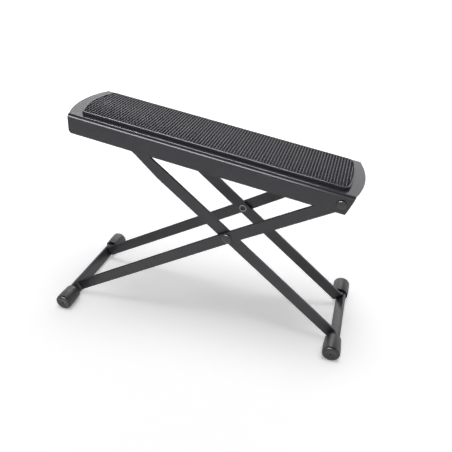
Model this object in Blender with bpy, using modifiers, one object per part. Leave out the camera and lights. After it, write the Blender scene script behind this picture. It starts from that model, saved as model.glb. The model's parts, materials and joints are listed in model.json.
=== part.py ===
# Folding guitar footrest: a rubber-covered steel tread on scissor legs of flat strip.
# Metres, +Z up, +X towards the pivoted end of the tread, -Y is the near side.
# The origin is on the floor, midway between the two foot bars.
import math

import bmesh
import bpy
from mathutils import Matrix, Vector

# Linkage, between centres
foot_spread = 0.31793
outer_foot_to_crossing = 0.22376
inner_foot_to_crossing = 0.16359
crossing_to_pivot = 0.12632
crossing_to_rod = 0.142
rod_above_strip_centre = 0.0012
rod_below_pivot = 0.00355

# Leg strips
strip_thickness = 0.003
strip_corner = 0.0004
strip_bend_radius = 0.0044
outer_leg_width = 0.0128
outer_leg_half_span_crossing = 0.0355
outer_leg_foot_splay = 0.0034
outer_leg_parallel_end = 0.012
inner_leg_width = 0.013
inner_leg_foot_splay = 0.0009
inner_leg_taper_start = 0.094
inner_leg_taper_end = 0.125
inner_leg_end_radius = 0.0049
tab_short_of_cap_wall = 0.006

# Foot bars and rubber caps
bar_width = 0.0134
bar_thickness = 0.0036
cap_radius = 0.0098
cap_flat_depth = 0.00015
cap_length = 0.0228
cap_mouth_radius = 0.0091
cap_straight = 0.0105
cap_edge_radius = 0.0016
cap_bore_slack = 0.00035
cap_end_wall = 0.0032
cap_dish_radius = 0.0052
cap_dish_depth = 0.0006
cap_pip_radius = 0.0008
cap_pip_depth = 0.0011
outer_cap_half_span = 0.0714
inner_cap_half_span = 0.0610

# Catch rod
rod_radius = 0.003
rod_peen = 0.0006

# Rivets
scissor_rivet_shank = 0.0034
scissor_rivet_head = 0.0056
scissor_rivet_dome = 0.0021
scissor_rivet_flange = 0.00445
scissor_rivet_flange_thickness = 0.0009
scissor_rivet_mouth = 0.00275
scissor_rivet_bore = 0.0023
scissor_rivet_bore_depth = 0.0042
pivot_rivet_shank = 0.0026
pivot_rivet_head = 0.0047
pivot_rivet_dome = 0.0018
pivot_rivet_peen = 0.0038
pivot_rivet_peen_thickness = 0.0011

# Pressed steel pan of the tread
sheet_thickness = 0.0012
sheet_corner = 0.0003
pan_half_width = 0.03953
pan_bend_radius = 0.0036
pan_top_above_pivot = 0.01016
pan_skirt_depth = 0.01952
pan_left_of_pivot = 0.28358
pan_right_of_pivot = 0.01642
pan_end_arc_radius = 0.108
skirt_right_slant = math.radians(12.2)
skirt_left_slant = math.radians(3.0)
skirt_left_corner = 0.0035
skirt_right_corner = 0.0015
skirt_corner_shares = (0.62, 0.42, 0.25, 0.12, 0.03)

# Rubber tread pad
pad_half_width = 0.03232
pad_height = 0.0033
pad_left_margin = 0.0123
pad_right_margin = 0.011
pad_left_arc_radius = 0.082
pad_right_arc_radius = 0.15
pad_left_corner = 0.003
pad_right_corner = 0.0075
pad_edge_radius = 0.0005
pad_rim = 0.0022
groove_pitch = 0.00293
groove_width = 0.0013
groove_depth = 0.0009

# Notched rack under the pan
rack_half_width = 0.0158
rack_thickness = 0.0018
rack_bend_radius = 0.002
rack_end_land = 0.005
rod_to_tooth_gap = 0.0005
notch_count = 6
notch_pitch = 0.0086
notch_depth = 0.005
notch_radius = 0.0033
tooth_land = 0.0012

# Clearances and mesh fineness
gap = 0.0003
leg_running_gap = 0.0004
leg_to_skirt_gap = 0.00043
overrun = 0.002
weld_distance = 0.00001
round_steps = 32
bend_steps = 5
arc_steps = 14
dome_steps = 6

# Half spans of the legs' outer faces: the inner legs run inside the outer ones, and those inside the skirts
outer_leg_half_span_foot = outer_leg_half_span_crossing + outer_leg_foot_splay
outer_leg_half_span_pivot = pan_half_width - sheet_thickness - leg_to_skirt_gap
inner_leg_half_span_crossing = outer_leg_half_span_crossing - strip_thickness - leg_running_gap
inner_leg_half_span_foot = inner_leg_half_span_crossing + inner_leg_foot_splay

# Angles of the legs and the tread, from the lengths above
foot_angle = math.acos((outer_foot_to_crossing**2 + inner_foot_to_crossing**2 - foot_spread**2)
                       / (2 * outer_foot_to_crossing * inner_foot_to_crossing))
outer_angle = math.asin(inner_foot_to_crossing * math.sin(foot_angle) / foot_spread)
inner_angle = math.pi - foot_angle - outer_angle
foot_height = cap_radius - cap_flat_depth
outer_foot = Vector((-foot_spread / 2, 0, foot_height))
outer_direction = Vector((math.cos(outer_angle), 0, math.sin(outer_angle)))
inner_direction = Vector((-math.cos(inner_angle), 0, math.sin(inner_angle)))
inner_up = Vector((math.sin(inner_angle), 0, math.cos(inner_angle)))
crossing = outer_foot + outer_foot_to_crossing * outer_direction
pivot = crossing + crossing_to_pivot * outer_direction
rod_centre = crossing + crossing_to_rod * inner_direction + rod_above_strip_centre * inner_up
pivot_to_rod = (rod_centre - pivot).length
rod_left_of_pivot = math.sqrt(pivot_to_rod**2 - rod_below_pivot**2)
pad_right_end = pan_right_of_pivot - pad_right_margin
pad_left_end = -pan_left_of_pivot + pad_left_margin
tread_tilt = math.asin((rod_centre.z - pivot.z) / pivot_to_rod) + math.asin(rod_below_pivot / pivot_to_rod)


def clear_scene():
    for item in list(bpy.data.objects):
        bpy.data.objects.remove(item, do_unlink=True)


def new_collection(name):
    collection = bpy.data.collections.new(name)
    bpy.context.scene.collection.children.link(collection)
    return collection


def paint(name, colour, roughness, metallic):
    material = bpy.data.materials.new(name)
    material.use_nodes = True
    shader = material.node_tree.nodes["Principled BSDF"]
    shader.inputs["Base Color"].default_value = (*colour, 1)
    shader.inputs["Roughness"].default_value = roughness
    shader.inputs["Metallic"].default_value = metallic
    material.diffuse_color = (*colour, 1)
    return material


def joint_empty(name, place, turn):
    # A joint frame, turned about Y alone
    empty = bpy.data.objects.new(name, None)
    empty.location = place
    empty.rotation_euler = (0, turn, 0)
    parts.objects.link(empty)
    return empty


def add_object(name, bm, parent, material):
    mesh = bpy.data.meshes.new(name)
    bm.to_mesh(mesh)
    bm.free()
    item = bpy.data.objects.new(name, mesh)
    item.parent = parent
    if material is None:
        cutters.objects.link(item)
        item.hide_render = True
        item.display_type = "WIRE"
    else:
        parts.objects.link(item)
        mesh.materials.append(material)
    return item


def smooth(item, degrees=35):
    item.data.shade_smooth()
    item.data.set_sharp_from_angle(angle=math.radians(degrees))


def cut(item, cutter):
    modifier = item.modifiers.new("cut_" + cutter.name, "BOOLEAN")
    modifier.operation = "DIFFERENCE"
    modifier.object = cutter


def soften(item, width, segments=2, degrees=50):
    modifier = item.modifiers.new("soft_edges", "BEVEL")
    modifier.width = width
    modifier.segments = segments
    modifier.limit_method = "ANGLE"
    modifier.angle_limit = math.radians(degrees)


def thicken(item, thickness):
    modifier = item.modifiers.new("sheet", "SOLIDIFY")
    modifier.thickness = thickness
    modifier.offset = 0
    modifier.use_even_offset = True


def loft(name, rows, thickness, parent, material):
    # Sheet metal: an open surface between pairs of points, thickened to both sides
    bm = bmesh.new()
    pairs = [(bm.verts.new(first), bm.verts.new(second)) for first, second in rows]
    for (a, b), (c, d) in zip(pairs, pairs[1:]):
        bm.faces.new((a, c, d, b))
    item = add_object(name, bm, parent, material)
    thicken(item, thickness)
    return item


def turned(name, profile, parent, material):
    # A turned piece: its profile runs down the outer side, then back up inside
    bm = bmesh.new()
    points = [bm.verts.new((radius, 0, height)) for radius, height in profile]
    for a, b in zip(points, points[1:]):
        bm.edges.new((a, b))
    item = add_object(name, bm, parent, material)
    modifier = item.modifiers.new("turn", "SCREW")
    modifier.steps = round_steps
    modifier.render_steps = round_steps
    modifier.use_merge_vertices = True
    modifier.merge_threshold = weld_distance
    smooth(item)
    return item


def cross_rod(name, radius, length, parent, material):
    # A round bar or cutter along Y
    bm = bmesh.new()
    turn = Matrix.Rotation(math.pi / 2, 4, "X")
    bmesh.ops.create_cone(bm, cap_ends=True, segments=round_steps, radius1=radius, radius2=radius,
                          depth=length, matrix=turn)
    item = add_object(name, bm, parent, material)
    smooth(item)
    return item


def block(name, size, parent, material):
    bm = bmesh.new()
    bmesh.ops.create_cube(bm, size=1, matrix=Matrix.Diagonal((*size, 1)))
    return add_object(name, bm, parent, material)


def plate(name, outline, thickness, parent, material):
    # A flat outline in local XY as a filled 2D curve, made a mesh so that it can be cut or bevelled
    curve = bpy.data.curves.new(name + "_outline", "CURVE")
    curve.dimensions = "2D"
    curve.fill_mode = "BOTH"
    curve.extrude = thickness / 2
    spline = curve.splines.new("POLY")
    spline.points.add(len(outline) - 1)
    for point, (x, y) in zip(spline.points, outline):
        point.co = (x, y, 0, 1)
    spline.use_cyclic_u = True
    drawn = bpy.data.objects.new(name + "_outline", curve)
    parts.objects.link(drawn)
    graph = bpy.context.evaluated_depsgraph_get()
    mesh = bpy.data.meshes.new_from_object(drawn.evaluated_get(graph))
    bpy.data.objects.remove(drawn)
    bm = bmesh.new()
    bm.from_mesh(mesh)
    bpy.data.meshes.remove(mesh)
    bmesh.ops.remove_doubles(bm, verts=bm.verts, dist=weld_distance)
    bmesh.ops.recalc_face_normals(bm, faces=bm.faces)
    return add_object(name, bm, parent, material)


def arc(centre, radius, start, end, steps):
    # Points on an arc, angles in degrees
    angles = [math.radians(start + (end - start) * i / steps) for i in range(steps + 1)]
    return [(centre[0] + radius * math.cos(a), centre[1] + radius * math.sin(a)) for a in angles]


def foot_tab_path(foot_x, arm_y, inward, cap_half_span):
    # The strip's middle line from the arm through its outward bend to the end of the tab inside the cap
    tab_x = foot_x + inward * (strip_thickness + gap) / 2
    centre = (tab_x + inward * strip_bend_radius, arm_y + strip_bend_radius)
    start, end = (-90, 0) if inward < 0 else (-90, -180)
    bend = arc(centre, strip_bend_radius, start, end, bend_steps)
    return bend + [(tab_x, cap_half_span - cap_end_wall - tab_short_of_cap_wall)]


def round_end(centre_x, centre_z, radius, outward):
    # Rows (x, low, high) that close a strip with a half round
    angles = [math.radians(a) for a in (0, 18, 36, 54, 70, 82)]
    return [(centre_x + outward * radius * math.sin(a), centre_z - radius * math.cos(a),
             centre_z + radius * math.cos(a)) for a in angles]


def strip(name, rows, side, parent, material):
    # Rows are (x, y, low, high); side is -1 near or +1 far
    pairs = [((x, side * y, low), (x, side * y, high)) for x, y, low, high in rows]
    return loft(name, pairs, strip_thickness, parent, material)


def outer_leg(name, side):
    half = outer_leg_width / 2
    middle = strip_thickness / 2
    end_y = outer_leg_half_span_pivot - middle
    foot_y = outer_leg_half_span_foot - middle
    end = round_end(crossing_to_pivot, 0, half, 1)
    rows = [(x, end_y, low, high) for x, low, high in reversed(end)]
    rows.append((crossing_to_pivot - outer_leg_parallel_end, end_y, -half, half))
    rows.append((0, outer_leg_half_span_crossing - middle, -half, half))
    path = foot_tab_path(-outer_foot_to_crossing, foot_y, 1, outer_cap_half_span)
    rows += [(x, y, -half, half) for x, y in path]
    leg = strip(name, rows, side, outer_frame, steel)
    cut(leg, scissor_hole)
    cut(leg, pivot_hole)
    soften(leg, strip_corner)
    return leg


def inner_leg(name, side):
    half = inner_leg_width / 2
    middle = strip_thickness / 2
    span_y = inner_leg_half_span_crossing - middle
    foot_y = inner_leg_half_span_foot - middle
    end = round_end(-crossing_to_rod, rod_above_strip_centre, inner_leg_end_radius, -1)
    low_end = rod_above_strip_centre - inner_leg_end_radius
    high_end = rod_above_strip_centre + inner_leg_end_radius
    rows = [(x, span_y, low, high) for x, low, high in reversed(end)]
    rows.append((-inner_leg_taper_end, span_y, low_end, high_end))
    rows.append((-inner_leg_taper_start, span_y, -half, half))
    rows.append((0, span_y, -half, half))
    path = foot_tab_path(inner_foot_to_crossing, foot_y, -1, inner_cap_half_span)
    rows += [(x, y, -half, half) for x, y in path]
    leg = strip(name, rows, side, inner_frame, steel)
    cut(leg, scissor_hole)
    cut(leg, rod_hole)
    soften(leg, strip_corner)
    return leg


def base_bar(name, foot_x, outward, half_span, parent):
    # Strip across the two legs, on the outer side of their tabs, reaching into both caps
    length = 2 * (half_span - cap_end_wall - gap)
    bar = block(name, (bar_thickness, length, bar_width), parent, steel)
    bar.location.x = foot_x + outward * (gap + bar_thickness) / 2
    soften(bar, strip_corner)
    return bar


def foot_cap(name, foot_x, half_span, side, parent):
    # Turned rubber cap, its flat ground level with the floor and its bore round the tab and the bar
    deep = max(strip_thickness, bar_thickness) + gap / 2
    wide = max(bar_width, outer_leg_width, inner_leg_width) / 2
    bore_radius = math.hypot(deep, wide) + cap_bore_slack
    edge = arc((cap_radius - cap_edge_radius, -cap_edge_radius), cap_edge_radius, 90, 0, 4)
    dish = [(0, -cap_dish_depth - cap_pip_depth), (cap_pip_radius, -cap_dish_depth - cap_pip_depth),
            (cap_pip_radius, -cap_dish_depth), (cap_dish_radius, -cap_dish_depth),
            (cap_dish_radius + cap_dish_depth, 0)]
    side_line = [(cap_radius, -cap_straight), (cap_mouth_radius, -cap_length)]
    bore = [(bore_radius, -cap_length), (bore_radius, -cap_end_wall), (0, -cap_end_wall)]
    cap = turned(name, dish + edge + side_line + bore, parent, rubber)
    cap.location = (foot_x, side * half_span, 0)
    cap.rotation_euler = (-side * math.pi / 2, 0, 0)
    cut(cap, floor_plane)
    return cap


def dome(radius, height):
    # Profile of a domed head from its crown to its rim, on a short straight edge
    edge = height / 6
    angles = [math.pi / 2 * (1 - i / dome_steps) for i in range(1, dome_steps + 1)]
    curve = [(radius * math.cos(a), edge + (height - edge) * math.sin(a)) for a in angles]
    return [(0, height), *curve, (radius, 0)]


def scissor_rivet(name, side):
    # Semi-tubular rivet: domed outside, its hollow end rolled out against the inner leg
    seat = -(outer_leg_half_span_crossing - inner_leg_half_span_crossing + strip_thickness + 2 * gap)
    tail = seat - scissor_rivet_flange_thickness
    profile = dome(scissor_rivet_head, scissor_rivet_dome)
    profile += [(scissor_rivet_shank, 0), (scissor_rivet_shank, seat), (scissor_rivet_flange, seat),
                (scissor_rivet_flange, tail + scissor_rivet_flange_thickness / 2),
                (scissor_rivet_flange - scissor_rivet_flange_thickness / 2, tail),
                (scissor_rivet_mouth, tail), (scissor_rivet_bore, tail + scissor_rivet_flange_thickness),
                (scissor_rivet_bore, tail + scissor_rivet_bore_depth), (0, tail + scissor_rivet_bore_depth)]
    rivet = turned(name, profile, outer_frame, dark_steel)
    rivet.location = (0, side * (outer_leg_half_span_crossing + gap), 0)
    rivet.rotation_euler = (-side * math.pi / 2, 0, 0)
    return rivet


def pivot_rivet(name, side):
    # Solid rivet through the skirt and the outer leg, peened inside the leg
    inner_face = outer_leg_half_span_pivot - strip_thickness
    seat = -(pan_half_width - inner_face + 2 * gap)
    tail = seat - pivot_rivet_peen_thickness
    chamfer = pivot_rivet_peen_thickness / 2
    profile = dome(pivot_rivet_head, pivot_rivet_dome)
    profile += [(pivot_rivet_shank, 0), (pivot_rivet_shank, seat), (pivot_rivet_peen, seat),
                (pivot_rivet_peen, tail + chamfer), (pivot_rivet_peen - chamfer, tail), (0, tail)]
    rivet = turned(name, profile, tread_frame, dark_steel)
    rivet.location = (0, side * (pan_half_width + gap), 0)
    rivet.rotation_euler = (-side * math.pi / 2, 0, 0)
    return rivet


def catch_rod():
    length = 2 * (inner_leg_half_span_crossing + rod_peen)
    rod = cross_rod("catch_rod", rod_radius, length, inner_frame, dark_steel)
    rod.location = (-crossing_to_rod, 0, rod_above_strip_centre)
    return rod


def end_arc(y, radius):
    # How far an end that bulges with this radius falls back at y
    return radius - math.sqrt(radius**2 - y**2)


def corner_inset(height, corner):
    # How far a skirt's rounded bottom corner falls back at this height above the bottom edge
    if height >= corner:
        return 0
    return corner - math.sqrt(corner**2 - (corner - height)**2)


def pan_section():
    # Half of the pan's middle line, (y, z) from the plate's centre to the skirt's bottom edge
    middle = sheet_thickness / 2
    half = pan_half_width - middle
    top = pan_top_above_pivot - middle
    radius = pan_bend_radius - middle
    flat = half - radius
    bottom = pan_top_above_pivot - pan_skirt_depth
    across = [(flat * i / arc_steps, top) for i in range(arc_steps)]
    bend = arc((flat, top - radius), radius, 90, 0, bend_steps)
    heights = [skirt_left_corner, *[skirt_left_corner * s for s in skirt_corner_shares], 0]
    return across + bend + [(half, bottom + h) for h in heights]


def pan_ends(y, z):
    # Left and right ends of the sheet at a point of the section
    middle = sheet_thickness / 2
    flat_y = min(abs(y), pan_half_width - pan_bend_radius)
    drop = max(0, pan_top_above_pivot - middle - z)
    rise = z - (pan_top_above_pivot - pan_skirt_depth)
    left = -pan_left_of_pivot + end_arc(flat_y, pan_end_arc_radius)
    left += drop * math.tan(skirt_left_slant) + corner_inset(rise, skirt_left_corner)
    right = pan_right_of_pivot - end_arc(flat_y, pan_end_arc_radius)
    right -= drop * math.tan(skirt_right_slant) + corner_inset(rise, skirt_right_corner)
    return left, right


def tread_pan():
    half = pan_section()
    section = [(-y, z) for y, z in reversed(half[1:])] + half
    rows = []
    for y, z in section:
        left, right = pan_ends(y, z)
        rows.append(((left, y, z), (right, y, z)))
    pan = loft("tread_pan", rows, sheet_thickness, tread_frame, steel)
    cut(pan, pivot_hole)
    soften(pan, sheet_corner, segments=1)
    return pan


def pad_corner(end_x, outward, arc_radius, corner):
    # Half of one end of the pad, (x, y) from its middle to the straight side, with a tangent corner arc
    centre_x = end_x - outward * arc_radius
    inner_y = pad_half_width - corner
    corner_x = centre_x + outward * math.sqrt((arc_radius - corner)**2 - inner_y**2)
    turn = math.degrees(math.asin(inner_y / (arc_radius - corner)))
    sweep = [i * turn / arc_steps for i in range(arc_steps + 1)]
    points = [(centre_x + outward * arc_radius * math.cos(math.radians(a)),
               arc_radius * math.sin(math.radians(a))) for a in sweep]
    for i in range(1, bend_steps + 1):
        a = math.radians(turn + (90 - turn) * i / bend_steps)
        points.append((corner_x + outward * corner * math.cos(a), inner_y + corner * math.sin(a)))
    return points


def groove_half_length(x):
    # Half the groove at x, kept inside the rim along the pad's sides and its two bulging ends
    reach = pad_half_width - pad_rim
    ends = ((pad_right_end, 1, pad_right_arc_radius), (pad_left_end, -1, pad_left_arc_radius))
    for end_x, outward, radius in ends:
        from_centre = (x - end_x) * outward + radius + groove_width / 2
        inner_radius = radius - pad_rim
        if from_centre > 0:
            reach = min(reach, math.sqrt(max(0, inner_radius**2 - from_centre**2)))
    return reach


def groove_cutter():
    # Straight grooves across the pad, one block for each
    pad_top = pan_top_above_pivot + pad_height
    first = pad_left_end + pad_rim + groove_width / 2
    count = int((pad_right_end - pad_rim - first) / groove_pitch)
    bm = bmesh.new()
    for i in range(count + 1):
        x = first + i * groove_pitch
        reach = groove_half_length(x)
        if reach > pad_rim:
            place = Matrix.Translation((x, 0, pad_top))
            size = Matrix.Diagonal((groove_width, 2 * reach, 2 * groove_depth, 1))
            bmesh.ops.create_cube(bm, size=1, matrix=place @ size)
    return add_object("groove_cutter", bm, tread_frame, None)


def tread_pad():
    right = pad_corner(pad_right_end, 1, pad_right_arc_radius, pad_right_corner)
    left = pad_corner(pad_left_end, -1, pad_left_arc_radius, pad_left_corner)
    upper = right + left[::-1]
    lower = [(x, -y) for x, y in upper if y > 0]
    outline = upper + lower[::-1]
    pad = plate("tread_pad", outline, pad_height - gap, tread_frame, rubber)
    pad.location.z = pan_top_above_pivot + gap + (pad_height - gap) / 2
    soften(pad, pad_edge_radius)
    cut(pad, groove_cutter())
    return pad


def notch_cutter(tooth_z, flank):
    # Saw teeth: each notch has a steep wall towards the tread's high end and a slope on its other side
    base = tooth_z - overrun
    centre_z = tooth_z + notch_depth - notch_radius
    slope_end = notch_pitch - notch_radius - tooth_land
    outline = []
    for i in reversed(range(notch_count)):
        x = -rod_left_of_pivot - i * notch_pitch
        outline.append((x - notch_radius, base))
        outline += arc((x, centre_z), notch_radius, 180, 50, 6)
        outline += [(x + slope_end, tooth_z), (x + slope_end, base)]
    outline.append((outline[-1][0], base - overrun))
    outline.append((outline[0][0], base - overrun))
    cutter = plate("notch_cutter", outline, 2 * (flank + overrun), tread_frame, None)
    cutter.rotation_euler = (math.pi / 2, 0, 0)
    return cutter


def height_rack():
    # Channel welded under the pan, its two flanges cut with saw teeth
    middle = rack_thickness / 2
    half = rack_half_width - middle
    top = pan_top_above_pivot - sheet_thickness - gap - middle
    tooth_z = -rod_below_pivot + rod_radius + rod_to_tooth_gap
    radius = rack_bend_radius - middle
    left = -rod_left_of_pivot - (notch_count - 1) * notch_pitch - notch_radius - rack_end_land
    right = -rod_left_of_pivot + notch_pitch + rack_end_land
    side = [(0, top)] + arc((half - radius, top - radius), radius, 90, 0, bend_steps) + [(half, tooth_z)]
    section = [(-y, z) for y, z in reversed(side[1:])] + side
    rows = [((left, y, z), (right, y, z)) for y, z in section]
    rack = loft("height_rack", rows, rack_thickness, tread_frame, steel)
    cut(rack, notch_cutter(tooth_z, rack_half_width))
    soften(rack, sheet_corner, segments=1)
    return rack


clear_scene()
parts = new_collection("guitar_footrest")
cutters = new_collection("cutters")
steel = paint("charcoal_enamel", (0.07, 0.07, 0.075), 0.45, 0.0)
dark_steel = paint("black_steel", (0.045, 0.045, 0.05), 0.3, 0.6)
rubber = paint("black_rubber", (0.05, 0.05, 0.052), 0.7, 0.0)

outer_frame = joint_empty("outer_frame", crossing, -outer_angle)
inner_frame = joint_empty("inner_frame", crossing, inner_angle)
tread_frame = joint_empty("tread_frame", pivot, tread_tilt)

across_all = 2 * (outer_cap_half_span + overrun)
scissor_hole = cross_rod("scissor_hole", scissor_rivet_shank + gap, across_all, outer_frame, None)
pivot_hole = cross_rod("pivot_hole", pivot_rivet_shank + gap, across_all, tread_frame, None)
rod_hole = cross_rod("rod_hole", rod_radius + gap, across_all, inner_frame, None)
rod_hole.location = (-crossing_to_rod, 0, rod_above_strip_centre)
floor_plane = block("floor_plane", (2 * foot_spread, across_all, 2 * cap_radius), None, None)
floor_plane.location.z = -cap_radius

outer_x = -outer_foot_to_crossing
inner_x = inner_foot_to_crossing
base_bar("outer_base_bar", outer_x, -1, outer_cap_half_span, outer_frame)
base_bar("inner_base_bar", inner_x, 1, inner_cap_half_span, inner_frame)
for label, side in (("near", -1), ("far", 1)):
    outer_leg("outer_leg_" + label, side)
    inner_leg("inner_leg_" + label, side)
    foot_cap("outer_foot_cap_" + label, outer_x, outer_cap_half_span, side, outer_frame)
    foot_cap("inner_foot_cap_" + label, inner_x, inner_cap_half_span, side, inner_frame)
    scissor_rivet("scissor_rivet_" + label, side)
    pivot_rivet("pivot_rivet_" + label, side)
catch_rod()
tread_pan()
tread_pad()
height_rack()
bpy.context.view_layer.update()
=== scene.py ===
import json
import math

import bmesh
import bpy
from mathutils import Matrix, Vector


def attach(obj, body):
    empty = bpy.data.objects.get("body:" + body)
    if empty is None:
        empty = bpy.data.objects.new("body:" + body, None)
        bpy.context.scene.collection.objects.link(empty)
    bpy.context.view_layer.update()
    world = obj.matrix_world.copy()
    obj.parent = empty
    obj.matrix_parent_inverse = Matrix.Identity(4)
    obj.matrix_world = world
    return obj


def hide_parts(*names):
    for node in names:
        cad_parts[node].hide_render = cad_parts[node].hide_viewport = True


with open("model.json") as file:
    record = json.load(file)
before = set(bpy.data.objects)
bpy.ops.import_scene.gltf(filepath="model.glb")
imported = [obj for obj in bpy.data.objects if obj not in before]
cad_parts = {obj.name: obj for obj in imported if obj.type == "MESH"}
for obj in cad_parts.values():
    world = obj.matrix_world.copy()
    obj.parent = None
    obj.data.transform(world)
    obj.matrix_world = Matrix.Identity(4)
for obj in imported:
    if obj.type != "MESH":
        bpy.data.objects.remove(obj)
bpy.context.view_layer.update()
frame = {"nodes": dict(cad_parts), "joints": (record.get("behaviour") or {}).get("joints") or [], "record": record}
print("frame loaded,", len(frame["nodes"]), "nodes")

# Places of the three moving frames, all in metres
joints = {joint["name"]: joint for joint in frame["joints"]}
mounts = {mount["name"]: mount for mount in frame["record"]["mounts"]}
footHeight = 0.00965    # centre of the rubber feet above the floor


def jointFrame(place, along):
    # x runs along the piece, y to the far side
    x = along.normalized()
    y = Vector((0, 1, 0))
    turned = Matrix((x, y, x.cross(y))).transposed().to_4x4()
    return Matrix.Translation(place) @ turned


def footCentre(mount):
    return Vector((mounts[mount]["pos_m"][0], 0, footHeight))


crossing = Vector(joints["leg_scissor"]["pos_m"])
pivot = Vector(joints["tread_fold"]["pos_m"])
treadUp = Vector(mounts["tread_top"]["axis"])
outerFoot = footCentre("outer_foot_near_floor")
innerFoot = footCentre("inner_foot_near_floor")
outerFrame = jointFrame(crossing, crossing - outerFoot)
innerFrame = jointFrame(crossing, innerFoot - crossing)
treadFrame = jointFrame(pivot, Vector((treadUp.z, 0, -treadUp.x)))
outerFootX = -(crossing - outerFoot).length
innerFootX = (innerFoot - crossing).length
pivotX = (pivot - crossing).length


# Materials

grainScale = {
    "cloud": 22.0, "cloudDetail": 4.0, "skinDetail": 3.0, "speckle": 900.0, "speckleDetail": 1.0,
    "speckleShare": 0.7,
}


def feed(tree, socket, value):
    # Sets a socket to a number, or joins it to another node's output
    if isinstance(value, (int, float)):
        socket.default_value = value
    else:
        tree.links.new(value, socket)


def mathNode(tree, kind, first, second):
    node = tree.nodes.new("ShaderNodeMath")
    node.operation = kind
    feed(tree, node.inputs[0], first)
    feed(tree, node.inputs[1], second)
    return node.outputs[0]


def noiseNode(tree, vector, scale, detail):
    node = tree.nodes.new("ShaderNodeTexNoise")
    node.inputs["Detail"].default_value = detail
    feed(tree, node.inputs["Vector"], vector)
    feed(tree, node.inputs["Scale"], scale)
    return node.outputs["Fac"]


def rangeNode(tree, value, fromMin, fromMax, toMin, toMax, kind="LINEAR"):
    node = tree.nodes.new("ShaderNodeMapRange")
    node.interpolation_type = kind
    feed(tree, node.inputs["Value"], value)
    node.inputs["From Min"].default_value = fromMin
    node.inputs["From Max"].default_value = fromMax
    node.inputs["To Min"].default_value = toMin
    node.inputs["To Max"].default_value = toMax
    return node.outputs["Result"]


def mixShaders(tree, factor, first, second):
    node = tree.nodes.new("ShaderNodeMixShader")
    for socket, output in zip(node.inputs, (factor, first, second)):
        tree.links.new(output, socket)
    return node.outputs[0]


def grainGroup():
    # Mottle in the colour, patches in the shine and a fine skin, for coats and rubber alike
    group = bpy.data.node_groups.new("surfaceGrain", "ShaderNodeTree")
    for label, kind in (("Vector", "Vector"), ("Colour", "Color"), ("Mottle", "Float"),
                        ("Roughness", "Float"), ("Patches", "Float"), ("Grain", "Float")):
        group.interface.new_socket(label, in_out="INPUT", socket_type="NodeSocket" + kind)
    for label, kind in (("Colour", "Color"), ("Roughness", "Float"), ("Height", "Float")):
        group.interface.new_socket(label, in_out="OUTPUT", socket_type="NodeSocket" + kind)
    start = group.nodes.new("NodeGroupInput")
    end = group.nodes.new("NodeGroupOutput")
    vector = start.outputs["Vector"]
    cloud = noiseNode(group, vector, grainScale["cloud"], grainScale["cloudDetail"])
    skin = noiseNode(group, vector, start.outputs["Grain"], grainScale["skinDetail"])
    speckle = noiseNode(group, vector, grainScale["speckle"], grainScale["speckleDetail"])
    drift = mathNode(group, "SUBTRACT", cloud, 0.5)
    fleck = mathNode(group, "MULTIPLY", mathNode(group, "SUBTRACT", speckle, 0.5), grainScale["speckleShare"])
    spread = mathNode(group, "MULTIPLY", mathNode(group, "ADD", drift, fleck), start.outputs["Mottle"])
    shine = mathNode(group, "MULTIPLY", drift, start.outputs["Patches"])
    shaded = group.nodes.new("ShaderNodeVectorMath")
    shaded.operation = "SCALE"
    group.links.new(start.outputs["Colour"], shaded.inputs[0])
    group.links.new(mathNode(group, "ADD", spread, 1.0), shaded.inputs["Scale"])
    group.links.new(shaded.outputs[0], end.inputs["Colour"])
    group.links.new(mathNode(group, "ADD", start.outputs["Roughness"], shine), end.inputs["Roughness"])
    group.links.new(skin, end.inputs["Height"])
    return group


surfaceGrain = grainGroup()


def grainMaterial(look):
    # Principled shader over the shared grain
    material = bpy.data.materials.new(look["name"])
    material.use_nodes = True
    tree = material.node_tree
    shader = tree.nodes["Principled BSDF"]
    place = tree.nodes.new("ShaderNodeTexCoord")
    grain = tree.nodes.new("ShaderNodeGroup")
    grain.node_tree = surfaceGrain
    tree.links.new(place.outputs["Object"], grain.inputs["Vector"])
    grain.inputs["Colour"].default_value = (*look["colour"], 1)
    grain.inputs["Mottle"].default_value = look["mottle"]
    grain.inputs["Roughness"].default_value = look["roughness"]
    grain.inputs["Patches"].default_value = look["patches"]
    grain.inputs["Grain"].default_value = 1 / look["grain"]
    bump = tree.nodes.new("ShaderNodeBump")
    bump.inputs["Distance"].default_value = look["grain"]
    bump.inputs["Strength"].default_value = look["relief"]
    tree.links.new(grain.outputs["Colour"], shader.inputs["Base Color"])
    tree.links.new(grain.outputs["Roughness"], shader.inputs["Roughness"])
    tree.links.new(grain.outputs["Height"], bump.inputs["Height"])
    tree.links.new(bump.outputs["Normal"], shader.inputs["Normal"])
    shader.inputs["Metallic"].default_value = look["metallic"]
    shader.inputs["Specular IOR Level"].default_value = look["specular"]
    material.diffuse_color = (*look["colour"], 1)
    return material


panEnamelLook = {
    "name": "panEnamel", "colour": (0.043, 0.041, 0.050), "mottle": 0.22, "roughness": 0.19,
    "patches": 0.04, "grain": 0.0006, "relief": 0.004, "metallic": 0.0, "specular": 0.5,
}
panInsideLook = {
    "name": "panInside", "colour": (0.040, 0.039, 0.045), "mottle": 0.24, "roughness": 0.52,
    "patches": 0.14, "grain": 0.0006, "relief": 0.08, "metallic": 0.0, "specular": 0.28,
}
frameEnamelLook = {
    "name": "frameEnamel", "colour": (0.041, 0.040, 0.046), "mottle": 0.24, "roughness": 0.36,
    "patches": 0.14, "grain": 0.0006, "relief": 0.12, "metallic": 0.0, "specular": 0.5,
}
# Near-black and matt: painted shade on the outer legs' edge faces and in the scissor rivet's hole
mattShadeLook = {
    "name": "mattShade", "colour": (0.008, 0.008, 0.010), "mottle": 0.30, "roughness": 0.62,
    "patches": 0.16, "grain": 0.0005, "relief": 0.25, "metallic": 0.0, "specular": 0.12,
}
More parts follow.
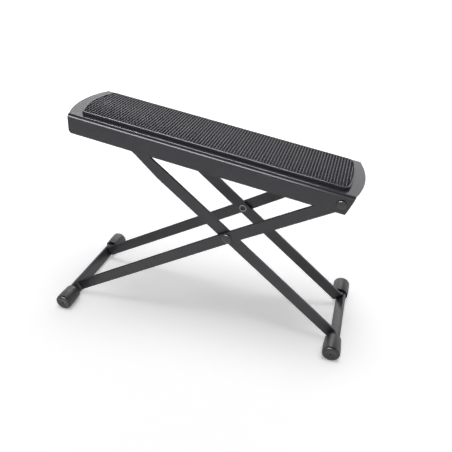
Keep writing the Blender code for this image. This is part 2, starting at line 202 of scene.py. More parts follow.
# Near-black and glossy: painted shade on the inner legs' edge faces, which still show reflections
glossyEdgeShadeLook = {
    "name": "glossyEdgeShade", "colour": (0.008, 0.008, 0.010), "mottle": 0.30, "roughness": 0.35,
    "patches": 0.06, "grain": 0.0005, "relief": 0.08, "metallic": 0.0, "specular": 0.5,
}
rivetCoatLook = {
    "name": "rivetCoat", "colour": (0.011, 0.011, 0.013), "mottle": 0.20, "roughness": 0.12,
    "patches": 0.06, "grain": 0.0008, "relief": 0.05, "metallic": 0.0, "specular": 0.8,
}
rolledSteelLook = {
    "name": "rolledSteel", "colour": (0.24, 0.24, 0.25), "mottle": 0.30, "roughness": 0.40,
    "patches": 0.10, "grain": 0.0006, "relief": 0.10, "metallic": 1.0, "specular": 0.5,
}
rodSteelLook = {
    "name": "rodSteel", "colour": (0.30, 0.30, 0.31), "mottle": 0.20, "roughness": 0.36,
    "patches": 0.12, "grain": 0.0005, "relief": 0.06, "metallic": 1.0, "specular": 0.5,
}
capRubberLook = {
    "name": "capRubber", "colour": (0.027, 0.027, 0.029), "mottle": 0.40, "roughness": 0.43,
    "patches": 0.20, "grain": 0.0005, "relief": 0.22, "metallic": 0.0, "specular": 0.5,
}
# The cap's end: shinier than the side, and its darker colour is painted shade
capEndShadedLook = {
    "name": "capEndShadedRubber", "colour": (0.011, 0.011, 0.013), "mottle": 0.40, "roughness": 0.18,
    "patches": 0.06, "grain": 0.0005, "relief": 0.10, "metallic": 0.0, "specular": 0.6,
}
panEnamel = grainMaterial(panEnamelLook)
panInside = grainMaterial(panInsideLook)
frameEnamel = grainMaterial(frameEnamelLook)
mattShade = grainMaterial(mattShadeLook)
glossyEdgeShade = grainMaterial(glossyEdgeShadeLook)
rivetCoat = grainMaterial(rivetCoatLook)
rolledSteel = grainMaterial(rolledSteelLook)
rodSteel = grainMaterial(rodSteelLook)
capRubber = grainMaterial(capRubberLook)
capEndShadedRubber = grainMaterial(capEndShadedLook)
print("materials made")


# Shared ways of making a piece

making = {
    "joinWithin": 0.00001, "joinTurned": 0.000002,    # points closer than this become one
    "softAngle": 50, "softSegments": 3,    # sheet edges sharper than this are rounded
}


def layPiece(name, bm, place, materials, body, nodes, sharp):
    # Puts a finished mesh in its place and hands it to the body that carries it
    bmesh.ops.transform(bm, matrix=place, verts=bm.verts)
    mesh = bpy.data.meshes.new(name)
    bm.to_mesh(mesh)
    bm.free()
    for material in materials:
        mesh.materials.append(material)
    mesh.shade_smooth()
    mesh.set_sharp_from_angle(angle=math.radians(sharp))
    piece = bpy.data.objects.new(name, mesh)
    bpy.context.scene.collection.objects.link(piece)
    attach(piece, body)
    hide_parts(*nodes)
    return piece


def sheetMetal(piece, thickness, edge, rimSlot=0, insideSlot=0):
    # Thickens an open surface to both sides and rounds its edges; the slots name other materials
    wall = piece.modifiers.new("wall", "SOLIDIFY")
    wall.thickness = thickness
    wall.offset = 0
    wall.use_even_offset = True
    wall.material_offset_rim = rimSlot
    wall.material_offset = insideSlot
    rounding = piece.modifiers.new("softEdges", "BEVEL")
    rounding.width = edge
    rounding.segments = making["softSegments"]
    rounding.limit_method = "ANGLE"
    rounding.angle_limit = math.radians(making["softAngle"])
    shading = piece.modifiers.new("evenShading", "WEIGHTED_NORMAL")
    shading.keep_sharp = True


def sweepPoint(bm, vert, centre, axis, degrees, steps):
    # Carries a point round an arc and returns the last point
    made = bmesh.ops.spin(bm, geom=[vert], cent=centre, axis=axis, angle=math.radians(degrees), steps=steps,
                          use_merge=False, use_duplicate=False)
    return next(item for item in made["geom_last"] if isinstance(item, bmesh.types.BMVert))


def drawTo(bm, vert, place):
    # Draws a line from a point to a place
    made = bmesh.ops.extrude_vert_indiv(bm, verts=[vert])
    made["verts"][0].co = place
    return made["verts"][0]


def drawProfile(bm, vert, places):
    # Draws a turned profile on, through places given as radius and height
    for radius, height in places:
        vert = drawTo(bm, vert, (radius, 0, height))
    return vert


def roundProfile(bm, vert, radius, height, steps):
    # Takes a turned profile round a quarter turn about the given centre
    return sweepPoint(bm, vert, (radius, 0, height), (0, 1, 0), 90, steps)


def turnProfile(bm, steps):
    # Turns a profile drawn in xz round the z axis
    bmesh.ops.spin(bm, geom=bm.verts[:] + bm.edges[:], cent=(0, 0, 0), axis=(0, 0, 1), angle=2 * math.pi,
                   steps=steps, use_merge=True, use_duplicate=False)
    bmesh.ops.remove_doubles(bm, verts=bm.verts, dist=making["joinTurned"])
    bmesh.ops.recalc_face_normals(bm, faces=bm.faces)


def crossPlace(place, side, x, halfSpan, z=0.0):
    # A turned piece's axis laid across the stand, pointing outwards on its side
    outwards = Matrix.Rotation(-side * math.pi / 2, 4, "X")
    return place @ Matrix.Translation((x, side * halfSpan, z)) @ outwards


# Pressed pan of the tread

pan = {
    "halfWidth": 0.03953, "bend": 0.0036, "farHalfWidth": 0.0403, "farBend": 0.0015, "top": 0.01016,
    "skirtDepth": 0.01952, "left": 0.28358, "right": 0.01642, "rightArc": 0.108, "leftArc": 0.093,
    "sheet": 0.0012, "edge": 0.0004, "slantRight": 12.2, "slantLeft": 3.0, "cornerRight": 0.0015,
    "cornerLeft": 0.0035, "acrossSteps": 26, "bendSteps": 9, "sharp": 60,
    "cornerShares": (0.75, 0.5, 0.3, 0.15, 0.06, 0.015, 0.0),    # rows round the skirt's bottom corners
}


def endArcDrop(y, radius):
    return radius - math.sqrt(radius**2 - y**2)


def cornerDrop(height, corner):
    # How far a rounded bottom corner falls back at this height
    if height >= corner:
        return 0.0
    return corner - math.sqrt(corner**2 - (corner - height)**2)


def panHalf(bm, halfWidth, bend):
    # Section from the middle over the bend and down the skirt at +y, pulled out to both ends
    old = set(bm.verts)
    middle = pan["sheet"] / 2
    top = pan["top"] - middle
    radius = bend - middle
    flat = halfWidth - middle - radius
    bottom = pan["top"] - pan["skirtDepth"]
    point = bm.verts.new((0, 0, top))
    for step in range(pan["acrossSteps"]):
        point = drawTo(bm, point, (0, flat * (step + 1) / pan["acrossSteps"], top))
    point = sweepPoint(bm, point, (0, flat, top - radius), (1, 0, 0), -90, pan["bendSteps"])
    for share in pan["cornerShares"]:
        point = drawTo(bm, point, (0, point.co.y, bottom + share * pan["cornerLeft"]))
    grown = bmesh.ops.extrude_edge_only(bm, edges=[edge for edge in bm.edges if edge.verts[0] not in old])
    rightSide = {item for item in grown["geom"] if isinstance(item, bmesh.types.BMVert)}
    rightEnd = (1, pan["right"], pan["rightArc"], pan["cornerRight"], pan["slantRight"])
    leftEnd = (-1, pan["left"], pan["leftArc"], pan["cornerLeft"], pan["slantLeft"])
    for vert in [vert for vert in bm.verts if vert not in old]:
        outward, end, arc, corner, slant = rightEnd if vert in rightSide else leftEnd
        away = endArcDrop(min(vert.co.y, halfWidth - bend), arc) + cornerDrop(vert.co.z - bottom, corner)
        away += max(0.0, top - vert.co.z) * math.tan(math.radians(slant))
        vert.co.x = outward * (end - away)


def makePan():
    bm = bmesh.new()
    panHalf(bm, pan["halfWidth"], pan["bend"])
    bmesh.ops.scale(bm, vec=(1, -1, 1), verts=bm.verts)
    panHalf(bm, pan["farHalfWidth"], pan["farBend"])
    bmesh.ops.remove_doubles(bm, verts=bm.verts, dist=making["joinWithin"])
    bmesh.ops.recalc_face_normals(bm, faces=bm.faces)
    piece = layPiece("panSheet", bm, treadFrame, [panEnamel, panInside], "tread", ["tread_pan"],
                     pan["sharp"])
    sheetMetal(piece, pan["sheet"], pan["edge"], insideSlot=1)


makePan()
print("pan made")


# Ribbed rubber pad on the pan

treadRubberLook = {
    "name": "treadRubber", "colour": (0.014, 0.015, 0.030), "mottle": 0.26, "roughness": 0.36,
    "patches": 0.10, "grain": 0.0004, "relief": 0.20, "metallic": 0.0, "specular": 0.34,
    # the groove colour is painted shade, the groove roughness a matt finish
    "grooveShadeColour": (0.009, 0.009, 0.011), "grooveRoughness": 0.85, "grooveFrom": -0.00045,
    "grooveTo": -0.00012,
}
padRimLook = {
    "name": "padRimRubber", "colour": (0.018, 0.019, 0.026), "mottle": 0.20, "roughness": 0.20,
    "patches": 0.06, "grain": 0.0004, "relief": 0.10, "metallic": 0.0, "specular": 0.5,
}
pad = {
    "halfWidth": 0.0322, "setBack": 0.0005, "height": 0.0033, "left": 0.27128, "right": 0.00542,
    "leftArc": 0.082, "rightArc": 0.15, "leftCorner": 0.003, "rightCorner": 0.0075, "arcSteps": 18,
    "cornerSteps": 8, "edge": 0.0005, "edgeSegments": 4, "rim": 0.0016, "bedding": 0.0003, "sharp": 50,
    "level": 0.9,    # faces whose normals rise more than this are the rim's
    "ribPitch": 0.00293, "ribWidth": 0.0016, "ribTop": 0.0009, "ribHeight": 0.0009, "ribRoot": 0.0002,
    "ribRound": 0.0003, "ribSegments": 3,
    "slant": -28.0, "slantPitch": 0.0032, "slantWidth": 0.0011, "slantDrop": 0.00025,
    "slantStep": 0.0002, "slantSteps": 220,    # how finely a slanting rib's ends are sought
}


def makeTreadRubber():
    # Rubber polished by shoes on top, dull down in the grooves, where the darker colour is painted shade
    material = grainMaterial(treadRubberLook)
    tree = material.node_tree
    grain = next(node for node in tree.nodes if node.type == "GROUP")
    place = next(node for node in tree.nodes if node.type == "TEX_COORD")
    height = tree.nodes.new("ShaderNodeVectorMath")
    height.operation = "DOT_PRODUCT"
    height.inputs[1].default_value = treadUp
    tree.links.new(place.outputs["Object"], height.inputs[0])
    top = treadUp.dot(pivot) + pan["top"] + pad["height"]
    # 1 on the crests, 0 down in the grooves: sets the grooves' painted shade colour and their matt roughness
    crestVsShadedGroove = rangeNode(tree, height.outputs["Value"], top + treadRubberLook["grooveFrom"],
                     top + treadRubberLook["grooveTo"], 0.0, 1.0, "SMOOTHSTEP")
    colour = tree.nodes.new("ShaderNodeMix")
    colour.data_type = "RGBA"
    colour.inputs["A"].default_value = (*treadRubberLook["grooveShadeColour"], 1)
    colour.inputs["B"].default_value = (*treadRubberLook["colour"], 1)
    tree.links.new(crestVsShadedGroove, colour.inputs["Factor"])
    tree.links.new(colour.outputs["Result"], grain.inputs["Colour"])
    shine = rangeNode(tree, crestVsShadedGroove, 0.0, 1.0, treadRubberLook["grooveRoughness"], treadRubberLook["roughness"])
    tree.links.new(shine, grain.inputs["Roughness"])
    return material


treadRubber = makeTreadRubber()
padRimRubber = grainMaterial(padRimLook)


def padCorner(bm, outward, end, radius, corner):
    # One bulging end from its middle to the straight side, with a tangent corner
    centreX = outward * (end - radius)
    innerY = pad["halfWidth"] - corner
    cornerX = centreX + outward * math.sqrt((radius - corner)**2 - innerY**2)
    turn = math.degrees(math.asin(innerY / (radius - corner)))
    point = bm.verts.new((outward * end, 0, 0))
    point = sweepPoint(bm, point, (centreX, 0, 0), (0, 0, 1), outward * turn, pad["arcSteps"])
    return sweepPoint(bm, point, (cornerX, innerY, 0), (0, 0, 1), outward * (90 - turn), pad["cornerSteps"])


def padCover(bm):
    # The broad face on top
    broad = (face for face in bm.faces if len(face.verts) > pad["arcSteps"])
    return max(broad, key=lambda face: face.calc_center_median().z)


def ribHalfLength(x):
    # Half a rib at x, kept inside the rim
    reach = pad["halfWidth"] - pad["rim"]
    for outward, end, radius in ((1, pad["right"], pad["rightArc"]), (-1, pad["left"], pad["leftArc"])):
        fromCentre = outward * x - end + radius + pad["ribWidth"] / 2
        if fromCentre > 0:
            reach = min(reach, math.sqrt(max(0.0, (radius - pad["rim"])**2 - fromCentre**2)))
    return reach


def slantReach(x, turn):
    # Both ends of a slanting rib that crosses the middle line at x, found in small steps
    steps = [step * pad["slantStep"] for step in range(-pad["slantSteps"], pad["slantSteps"] + 1)]
    held = [t for t in steps if abs(t * math.cos(turn)) < ribHalfLength(x + t * math.sin(turn))]
    return (min(held), max(held)) if held else (0, 0)


def addRib(bm, place, length, width, top, foot):
    # A straight rib along y of its place, narrower at the top, its upper edges softened
    size = Matrix.Diagonal((width, length, top - foot, 1))
    raised = place @ Matrix.Translation((0, 0, (top + foot) / 2))
    made = bmesh.ops.create_cube(bm, size=1, matrix=raised @ size)
    upper = [vert for vert in made["verts"] if vert.co.z > (top + foot) / 2]
    draft = pad["ribWidth"] - pad["ribTop"]
    bmesh.ops.scale(bm, vec=(1 - draft / width, 1 - draft / length, 1), space=place.inverted(), verts=upper)
    crest = [edge for edge in {edge for vert in upper for edge in vert.link_edges}
             if all(vert in upper for vert in edge.verts)]
    bmesh.ops.bevel(bm, geom=crest, offset=pad["ribRound"], offset_type="OFFSET", affect="EDGES",
                    segments=pad["ribSegments"], profile=0.5, material=-1)


def addRibs(bm, top):
    # Close ribs straight across the pad, crossed by lower slanting ones
    foot = top - pad["ribHeight"] - pad["ribRoot"]
    x = -pad["left"] + pad["rim"] + pad["ribPitch"] - pad["ribWidth"] / 2
    across = slanting = 0
    while x < pad["right"] - pad["rim"]:
        reach = ribHalfLength(x)
        if reach > pad["rim"]:
            addRib(bm, Matrix.Translation((x, 0, 0)), 2 * reach, pad["ribWidth"], top, foot)
            across += 1
        x += pad["ribPitch"]
    turn = math.radians(pad["slant"])
    x = -pad["left"] - pad["halfWidth"] / 2
    while x < pad["right"] + pad["halfWidth"] / 2:
        low, high = slantReach(x, turn)
        if high - low > 2 * pad["rim"]:
            place = Matrix.Translation((x, 0, 0)) @ Matrix.Rotation(-turn, 4, "Z")
            place = place @ Matrix.Translation((0, (low + high) / 2, 0))
            addRib(bm, place, high - low, pad["slantWidth"], top - pad["slantDrop"], foot)
            slanting += 1
        x += pad["slantPitch"]
    print(across, "ribs straight across the pad and", slanting, "slanting ones")


def makePad():
    bm = bmesh.new()
    rightSide = padCorner(bm, 1, pad["right"], pad["rightArc"], pad["rightCorner"])
    leftSide = padCorner(bm, -1, pad["left"], pad["leftArc"], pad["leftCorner"])
    bm.edges.new((rightSide, leftSide))
    bmesh.ops.mirror(bm, geom=bm.verts[:] + bm.edges[:], axis="Y", merge_dist=making["joinWithin"])
    slab = bmesh.ops.contextual_create(bm, geom=bm.edges[:])["faces"]
    base = pan["top"] + pad["bedding"]
    top = pan["top"] + pad["height"]
    bmesh.ops.translate(bm, verts=bm.verts, vec=(0, 0, base))
    grown = bmesh.ops.extrude_face_region(bm, geom=slab, use_keep_orig=True)["geom"]
    raised = [item for item in grown if isinstance(item, bmesh.types.BMVert)]
    bmesh.ops.translate(bm, verts=raised, vec=(0, 0, top - base))
    bmesh.ops.recalc_face_normals(bm, faces=bm.faces)
    bmesh.ops.bevel(bm, geom=padCover(bm).edges[:], offset=pad["edge"], offset_type="OFFSET", affect="EDGES",
                    segments=pad["edgeSegments"], profile=0.5, material=-1)
    cover = padCover(bm)
    bmesh.ops.inset_region(bm, faces=[cover], thickness=pad["rim"] - pad["edge"], use_even_offset=True)
    for face in bm.faces:
        if face is not cover and face.normal.z > pad["level"]:
            face.material_index = 1    # the smooth rim round the ribs
    bmesh.ops.inset_region(bm, faces=[cover], thickness=pad["edge"] / 2, depth=-pad["ribHeight"],
                           use_even_offset=True)
    addRibs(bm, top)
    place = treadFrame @ Matrix.Translation((0, pad["setBack"], 0))
    layPiece("treadPad", bm, place, [treadRubber, padRimRubber], "tread", ["tread_pad"],
             pad["sharp"])


makePad()
print("pad made")


# Flat strip legs

leg = {
    "thickness": 0.003, "edge": 0.0005, "bend": 0.0044, "gap": 0.0003, "capWall": 0.0032,
    "tabShort": 0.006, "bendSteps": 10, "endSteps": 18, "sharp": 60,
    "outerWidth": 0.0128, "outerSpan": 0.0355, "outerSplay": 0.0034, "skirtGap": 0.00043,
    "parallelEnd": 0.012, "outerCapSpan": 0.0714,
    "innerWidth": 0.013, "innerSplay": 0.0009, "runningGap": 0.0004, "taperStart": 0.094,
    "taperEnd": 0.125, "endRadius": 0.0049, "rodX": 0.142, "rodRise": 0.0012, "innerCapSpan": 0.0610,
}
innerFace = leg["outerSpan"] - leg["thickness"] - leg["runningGap"]    # outer side of the inner legs


def startStrip(bm, x, y, z, radius, outward):
    # Half round end of a strip, and the edge that the strip grows from
    first = bm.verts.new((x, y, z - radius))
    last = sweepPoint(bm, first, (x, y, z), (0, 1, 0), -outward * 180, leg["endSteps"])
    edge = bm.edges.new((first, last))
    bmesh.ops.contextual_create(bm, geom=bm.edges[:])
    return edge


def pullEdge(bm, edge, low, high):
    # Pulls the next length of strip out of an edge, whose lower and upper ends go to low and high
    lower = min(edge.verts, key=lambda vert: vert.co.z)
    made = bmesh.ops.extrude_edge_only(bm, edges=[edge])
    fresh = [item for item in made["geom"] if isinstance(item, bmesh.types.BMVert)]
    fresh.sort(key=lambda vert: (vert.co - lower.co).length)
    fresh[0].co = low
    fresh[1].co = high
    return next(item for item in made["geom"] if isinstance(item, bmesh.types.BMEdge) and
                set(item.verts) == set(fresh))


def tabRows(footX, armY, inward, capSpan, half):
    # The outward bend at the foot, and the tab that goes into the rubber foot
    tabX = footX + inward * (leg["thickness"] + leg["gap"]) / 2
    centreX = tabX + inward * leg["bend"]
    centreY = armY + leg["bend"]
    rows = []
    for step in range(leg["bendSteps"] + 1):
        angle = math.pi / 2 * step / leg["bendSteps"]
        x = centreX - inward * leg["bend"] * math.sin(angle)
        rows.append((x, centreY - leg["bend"] * math.cos(angle), -half, half))
    return rows + [(tabX, capSpan - leg["capWall"] - leg["tabShort"], -half, half)]


def outerRows(half, middle):
    # The y of the rounded end, and the rows down the leg from it, each x, y, low and high
    endY = pan["halfWidth"] - pan["sheet"] - leg["skirtGap"] - middle
    footY = leg["outerSpan"] + leg["outerSplay"] - middle
    rows = [(pivotX - leg["parallelEnd"], endY, -half, half), (0, leg["outerSpan"] - middle, -half, half)]
    return endY, rows + tabRows(outerFootX, footY, 1, leg["outerCapSpan"], half)


def innerRows(half, middle):
    spanY = innerFace - middle
    low = leg["rodRise"] - leg["endRadius"]
    high = leg["rodRise"] + leg["endRadius"]
    rows = [(-leg["taperEnd"], spanY, low, high), (-leg["taperStart"], spanY, -half, half),
            (0, spanY, -half, half)]
    return spanY, rows + tabRows(innerFootX, spanY + leg["innerSplay"], -1, leg["innerCapSpan"], half)


def makeLeg(name, node, side, inner):
    bm = bmesh.new()
    middle = leg["thickness"] / 2
    if inner:
        place, body, rimShade = innerFrame, "inner_frame", glossyEdgeShade
        endY, rows = innerRows(leg["innerWidth"] / 2, middle)
        edge = startStrip(bm, -leg["rodX"], endY, leg["rodRise"], leg["endRadius"], -1)
    else:
        place, body, rimShade = outerFrame, "outer_frame", mattShade
        endY, rows = outerRows(leg["outerWidth"] / 2, middle)
        edge = startStrip(bm, pivotX, endY, 0, leg["outerWidth"] / 2, 1)
    for x, y, low, high in rows:
        edge = pullEdge(bm, edge, (x, y, low), (x, y, high))
    if side < 0:
        bmesh.ops.scale(bm, vec=(1, -1, 1), verts=bm.verts)
    bmesh.ops.recalc_face_normals(bm, faces=bm.faces)
    # The strip's edge faces get a near-black colour along their whole length: painted shade
    piece = layPiece(name, bm, place, [frameEnamel, rimShade], body, [node], leg["sharp"])
    sheetMetal(piece, leg["thickness"], leg["edge"], rimSlot=1)


for kind in ("outer", "inner"):
    for side, label in ((-1, "Near"), (1, "Far")):
        makeLeg(kind + "Strip" + label, kind + "_leg_" + label.lower(), side, kind == "inner")
print("legs made")


# Flat bars across the feet

bar = {"width": 0.0134, "thickness": 0.0036, "edge": 0.0005, "edgeSegments": 4, "sharp": 60}


def makeBar(name, place, body, node, footX, outward, capSpan):
    bm = bmesh.new()
    length = 2 * (capSpan - leg["capWall"] - leg["gap"])
    size = Matrix.Diagonal((bar["thickness"], length, bar["width"], 1))
    bmesh.ops.create_cube(bm, size=1, matrix=size)
    bmesh.ops.bevel(bm, geom=bm.edges[:], offset=bar["edge"], offset_type="OFFSET", affect="EDGES",
                    segments=bar["edgeSegments"], profile=0.5, material=-1)
    place = place @ Matrix.Translation((footX + outward * (leg["gap"] + bar["thickness"]) / 2, 0, 0))
    layPiece(name, bm, place, [frameEnamel], body, [node], bar["sharp"])


makeBar("outerBar", outerFrame, "outer_frame", "outer_base_bar", outerFootX, -1, leg["outerCapSpan"])
makeBar("innerBar", innerFrame, "inner_frame", "inner_base_bar", innerFootX, 1, leg["innerCapSpan"])
print("foot bars made")


# Rubber feet

cap = {
    "radius": 0.0098, "length": 0.0228, "straight": 0.0105, "edge": 0.0024, "edgeSteps": 8,
    "mouthRadius": 0.0091, "lip": 0.0005, "lipSteps": 4, "wall": 0.0032, "boreSlack": 0.00035,
    "boreChamfer": 0.0002, "dishRadius": 0.0052, "dishDepth": 0.0006, "dishRound": 0.0004,
    "dishEase": 0.0001, "pipRadius": 0.0009, "pipDepth": 0.0011, "pipTaper": 0.7, "pipRound": 0.0003,
    "pipChamfer": 0.0002, "steps": 56, "sharp": 50,
}


def makeCap(name, place, side, body, node, footX, capSpan):
    bm = bmesh.new()
    deep = max(leg["thickness"], bar["thickness"]) + leg["gap"] / 2
    wide = max(leg["outerWidth"], leg["innerWidth"], bar["width"]) / 2
    bore = math.hypot(deep, wide) + cap["boreSlack"]
    dish = -cap["dishDepth"]
    pip = dish - cap["pipDepth"]
    end = -cap["length"]
    point = drawProfile(bm, bm.verts.new((0, 0, pip)), (
        (cap["pipRadius"] * cap["pipTaper"], pip),
        (cap["pipRadius"], dish - cap["pipChamfer"]),
        (cap["pipRadius"] + cap["pipRound"], dish),
        (cap["dishRadius"] - cap["dishRound"], dish - cap["dishEase"]),
        (cap["dishRadius"], dish),
        (cap["dishRadius"] + cap["dishDepth"], -cap["dishEase"]),
        (cap["dishRadius"] + 2 * cap["dishDepth"], 0),
        (cap["radius"] - cap["edge"], 0)))
    point = roundProfile(bm, point, cap["radius"] - cap["edge"], -cap["edge"], cap["edgeSteps"])
    point = drawProfile(bm, point, (
        (cap["radius"], -cap["straight"]), (cap["mouthRadius"], end + cap["lip"])))
    point = roundProfile(bm, point, cap["mouthRadius"] - cap["lip"], end + cap["lip"], cap["lipSteps"])
    drawProfile(bm, point, (
        (bore + cap["boreChamfer"], end), (bore, end + cap["boreChamfer"]), (bore, -cap["wall"]),
        (0, -cap["wall"])))
    turnProfile(bm, cap["steps"])
    for face in bm.faces:
        if face.calc_center_median().z > -cap["edge"]:
            face.material_index = 1    # the end, rubbed smooth and shinier than the side, and darker as painted shade
    bmesh.ops.transform(bm, matrix=crossPlace(place, side, footX, capSpan), verts=bm.verts)
    for vert in bm.verts:
        vert.co.z = max(vert.co.z, 0.0)    # a little ground flat where it stands
    layPiece(name, bm, Matrix.Identity(4), [capRubber, capEndShadedRubber], body, [node],
             cap["sharp"])


for side, label in ((-1, "Near"), (1, "Far")):
    node = "outer_foot_cap_" + label.lower()
    makeCap("outerCap" + label, outerFrame, side, "outer_frame", node, outerFootX, leg["outerCapSpan"])
    node = "inner_foot_cap_" + label.lower()
    makeCap("innerCap" + label, innerFrame, side, "inner_frame", node, innerFootX, leg["innerCapSpan"])
print("rubber feet made")


# Rivets

rivet = {
    "steps": 48, "gap": 0.0003, "crownSteps": 10, "rimPart": 6, "undercut": 0.0002, "roundSteps": 4,
    "sharp": 38,
    "scissorHead": 0.0056, "scissorDome": 0.0021, "scissorShank": 0.0034, "flange": 0.00445,
    "flangeThick": 0.0009, "mouth": 0.003, "mouthRound": 0.0003, "mouthEase": 0.0001, "bore": 0.0023,
    "boreDepth": 0.0042, "boreTip": 0.0006,
    "pivotHead": 0.0047, "pivotDome": 0.0018, "pivotShank": 0.0026, "peen": 0.0038,
    "peenThick": 0.0011, "peenFlat": 0.4, "peenDish": 0.0002,
}


def domeProfile(bm, radius, height):
    # A domed head from its crown to its rim
    rim = height / rivet["rimPart"]
    point = bm.verts.new((0, 0, height))
    for step in range(1, rivet["crownSteps"] + 1):
        angle = math.pi / 2 * (1 - step / rivet["crownSteps"])
        point = drawTo(bm, point, (radius * math.cos(angle), 0, rim + (height - rim) * math.sin(angle)))
    return drawTo(bm, point, (radius - rivet["undercut"], 0, 0))


def makeScissorRivet(name, side, node):
    # Semi-tubular: its inner end is rolled out into a ring
    bm = bmesh.new()
    seat = -(2 * leg["thickness"] + leg["runningGap"] + 2 * rivet["gap"])
    tail = seat - rivet["flangeThick"]
    half = rivet["flangeThick"] / 2
    point = domeProfile(bm, rivet["scissorHead"], rivet["scissorDome"])
    point = drawProfile(bm, point, (
        (rivet["scissorShank"], 0), (rivet["scissorShank"], seat), (rivet["flange"], seat),
        (rivet["flange"], seat - half)))
    point = roundProfile(bm, point, rivet["flange"] - half, seat - half, rivet["roundSteps"])
    drawProfile(bm, point, (
        (rivet["mouth"] + rivet["mouthRound"], tail), (rivet["mouth"], tail + rivet["mouthEase"]),
        (rivet["bore"], tail + rivet["flangeThick"]), (rivet["bore"], tail + rivet["boreDepth"]),
        (0, tail + rivet["boreDepth"] + rivet["boreTip"])))
    turnProfile(bm, rivet["steps"])
    for face in bm.faces:
        centre = face.calc_center_median()
        if centre.z < seat - half and centre.xy.length > rivet["mouth"]:
            face.material_index = 1    # the rolled ring, rubbed bare by the tool
        elif centre.z < seat and centre.xy.length < rivet["mouth"]:
            face.material_index = 2    # the hole in it, near black as painted shade
    place = crossPlace(outerFrame, side, 0, leg["outerSpan"] + rivet["gap"])
    layPiece(name, bm, place, [rivetCoat, rolledSteel, mattShade], "outer_frame", [node],
             rivet["sharp"])


def makePivotRivet(name, side, node):
    bm = bmesh.new()
    skirt = pan["farHalfWidth"] if side > 0 else pan["halfWidth"]
    legInside = pan["halfWidth"] - pan["sheet"] - leg["skirtGap"] - leg["thickness"]
    seat = -(skirt - legInside + 2 * rivet["gap"])
    tail = seat - rivet["peenThick"]
    half = rivet["peenThick"] / 2
    point = domeProfile(bm, rivet["pivotHead"], rivet["pivotDome"])
    point = drawProfile(bm, point, (
        (rivet["pivotShank"], 0), (rivet["pivotShank"], seat), (rivet["peen"], seat),
        (rivet["peen"], tail + half)))
    point = roundProfile(bm, point, rivet["peen"] - half, tail + half, rivet["roundSteps"])
    drawProfile(bm, point, ((rivet["peen"] * rivet["peenFlat"], tail), (0, tail + rivet["peenDish"])))
    turnProfile(bm, rivet["steps"])
    place = crossPlace(treadFrame, side, 0, skirt + rivet["gap"])
    layPiece(name, bm, place, [rivetCoat], "tread_pivots", [node], rivet["sharp"])


for side, label in ((-1, "Near"), (1, "Far")):
    makeScissorRivet("scissorRivet" + label, side, "scissor_rivet_" + label.lower())
    makePivotRivet("pivotRivet" + label, side, "pivot_rivet_" + label.lower())
print("rivets made")


# Catch rod, and the coat of the rack, which keeps its own shape

rod = {"radius": 0.003, "peen": 0.0006, "chamfer": 0.0005, "chamferSteps": 4, "steps": 48, "sharp": 38}


def makeRod():
    bm = bmesh.new()
    half = innerFace + rod["peen"]
    inner = rod["radius"] - rod["chamfer"]
    point = drawProfile(bm, bm.verts.new((0, 0, half)), ((inner, half),))
    point = roundProfile(bm, point, inner, half - rod["chamfer"], rod["chamferSteps"])
    point = drawProfile(bm, point, ((rod["radius"], rod["chamfer"] - half),))
    point = roundProfile(bm, point, inner, rod["chamfer"] - half, rod["chamferSteps"])
    drawProfile(bm, point, ((0, -half),))
    turnProfile(bm, rod["steps"])
    place = crossPlace(innerFrame, 1, -leg["rodX"], 0, leg["rodRise"])
    layPiece("catchRod", bm, place, [rodSteel], "inner_frame", ["catch_rod"], rod["sharp"])


makeRod()
rackMaterials = frame["nodes"]["height_rack"].data.materials
rackMaterials.clear()
rackMaterials.append(frameEnamel)
print("rod and rack made")


# Floor, lamps and camera

studio = {
    "floorSize": 14.0, "floorColour": (0.93, 0.93, 0.93), "floorRoughness": 0.9,
    "floorLift": 0.32, "farLift": 1.0, "liftFrom": 0.22, "liftTo": 1.3,    # the floor's own whiteness
    "ambient": 0.25, "horizon": 1.0, "ceiling": 0.06, "ceilingFrom": 0.45, "ceilingTo": 0.80,
    "target": (0.0, 0.0, 0.18),
}
lamps = (    # name, place, width, height, brightness, colour, lights the surfaces, shows in reflections
    ("skyLamp", (0.18, 0.1, 2.7), 1.35, 1.35, 6.4, (1.0, 1.0, 1.0), True, False),
    ("frontLamp", (-0.42, -1.28, 0.92), 1.3, 0.7, 12.0, (0.90, 0.93, 1.0), False, True),
    ("backLamp", (-0.35, 1.6, 0.72), 2.6, 1.4, 0.52, (1.0, 1.0, 1.0), True, True),
    ("stripLamp", (-0.22, 1.2, 1.30), 1.1, 0.24, 15.0, (1.0, 1.0, 1.0), False, True),
    ("lowLamp", (-1.1, 1.3, 0.13), 0.9, 0.22, 3.5, (1.0, 1.0, 1.0), False, True),
    ("sideLamp", (1.25, 1.15, 0.30), 1.1, 0.36, 1.2, (1.0, 1.0, 1.0), False, True),
)
view = {
    "place": (0.15541, -0.41095, 0.39047), "turn": 16.14, "down": 32.80, "roll": 0.2, "lens": 36.727,
    "shiftX": -0.02197, "shiftY": -0.00522, "sensor": 36, "clipStart": 0.01,
}


def lookedAt(tree, path):
    # 1 where the eye looks, straight or through something clear
    return mathNode(tree, "MAXIMUM", path.outputs["Is Camera Ray"], path.outputs["Is Transmission Ray"])


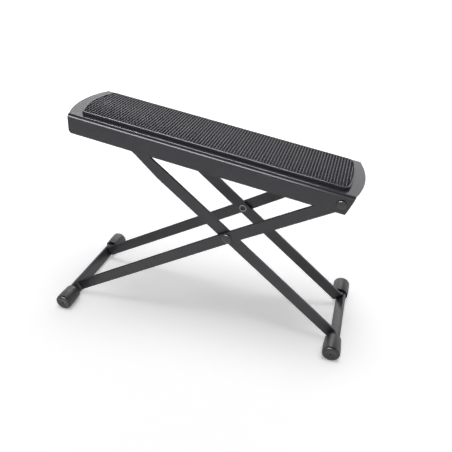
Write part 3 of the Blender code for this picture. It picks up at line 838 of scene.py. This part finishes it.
def makeFloor():
    bm = bmesh.new()
    bmesh.ops.create_grid(bm, x_segments=1, y_segments=1, size=studio["floorSize"] / 2)
    mesh = bpy.data.meshes.new("floor")
    bm.to_mesh(mesh)
    bm.free()
    floor = bpy.data.objects.new("floor", mesh)
    bpy.context.scene.collection.objects.link(floor)
    material = bpy.data.materials.new("paleFloor")
    material.use_nodes = True
    tree = material.node_tree
    shader = tree.nodes["Principled BSDF"]
    shader.inputs["Base Color"].default_value = (*studio["floorColour"], 1)
    shader.inputs["Roughness"].default_value = studio["floorRoughness"]
    shader.inputs["Specular IOR Level"].default_value = 0.0
    shader.inputs["Emission Strength"].default_value = 1.0
    place = tree.nodes.new("ShaderNodeTexCoord")
    distance = tree.nodes.new("ShaderNodeVectorMath")
    distance.operation = "LENGTH"
    tree.links.new(place.outputs["Object"], distance.inputs[0])
    lift = rangeNode(tree, distance.outputs["Value"], studio["liftFrom"], studio["liftTo"],
                     studio["floorLift"], studio["farLift"])    # white to the eye far from the stand
    path = tree.nodes.new("ShaderNodeLightPath")
    looked = mathNode(tree, "MULTIPLY", lookedAt(tree, path), lift)
    mirrored = mathNode(tree, "MULTIPLY", path.outputs["Is Glossy Ray"], studio["floorLift"])
    tree.links.new(mathNode(tree, "MAXIMUM", looked, mirrored), shader.inputs["Emission Color"])
    clear = tree.nodes.new("ShaderNodeBsdfTransparent")    # from below, so that the underside can be seen
    side = tree.nodes.new("ShaderNodeNewGeometry")
    mixed = mixShaders(tree, side.outputs["Backfacing"], shader.outputs[0], clear.outputs[0])
    tree.links.new(mixed, tree.nodes["Material Output"].inputs["Surface"])
    mesh.materials.append(material)


def whiteLight(tree, strength):
    background = tree.nodes.new("ShaderNodeBackground")
    background.inputs["Color"].default_value = (1, 1, 1, 1)
    feed(tree, background.inputs["Strength"], strength)
    return background.outputs[0]


def makeWorld():
    # White to the eye, a white room with a dim ceiling in reflections, and dimmer as light
    world = bpy.data.worlds.new("paleRoom")
    bpy.context.scene.world = world
    world.use_nodes = True
    tree = world.node_tree
    tree.nodes.clear()
    path = tree.nodes.new("ShaderNodeLightPath")
    place = tree.nodes.new("ShaderNodeTexCoord")
    parts = tree.nodes.new("ShaderNodeSeparateXYZ")
    tree.links.new(place.outputs["Generated"], parts.inputs[0])
    room = rangeNode(tree, parts.outputs["Z"], studio["ceilingFrom"], studio["ceilingTo"], studio["horizon"],
                     studio["ceiling"])
    shiny = mixShaders(tree, path.outputs["Is Glossy Ray"], whiteLight(tree, studio["ambient"]),
                       whiteLight(tree, room))
    seen = mixShaders(tree, lookedAt(tree, path), shiny, whiteLight(tree, 1.0))
    out = tree.nodes.new("ShaderNodeOutputWorld")
    tree.links.new(seen, out.inputs["Surface"])


def addLamp(name, place, width, height, brightness, colour, lights, mirrored):
    light = bpy.data.lights.new(name, "AREA")
    light.shape = "RECTANGLE"
    light.size = width
    light.size_y = height
    light.energy = brightness * math.pi * width * height
    light.color = colour
    lamp = bpy.data.objects.new(name, light)
    bpy.context.scene.collection.objects.link(lamp)
    away = Vector(studio["target"]) - Vector(place)
    lamp.matrix_world = Matrix.Translation(place) @ away.to_track_quat("-Z", "Y").to_matrix().to_4x4()
    lamp.visible_camera = False
    lamp.visible_diffuse = lights
    lamp.visible_glossy = mirrored


def makeCamera():
    data = bpy.data.cameras.new("camera")
    camera = bpy.data.objects.new("camera", data)
    bpy.context.scene.collection.objects.link(camera)
    turn = Matrix.Rotation(math.radians(view["turn"]), 4, "Z")
    tilt = Matrix.Rotation(math.radians(90 - view["down"]), 4, "X")
    roll = Matrix.Rotation(math.radians(view["roll"]), 4, "Z")
    camera.matrix_world = Matrix.Translation(view["place"]) @ turn @ tilt @ roll
    data.sensor_width = view["sensor"]
    data.lens = view["lens"]
    data.shift_x = view["shiftX"]
    data.shift_y = view["shiftY"]
    data.clip_start = view["clipStart"]
    bpy.context.scene.camera = camera


makeFloor()
makeWorld()
for lamp in lamps:
    addLamp(*lamp)
makeCamera()
bpy.context.scene.view_settings.view_transform = "Standard"
print("studio made")
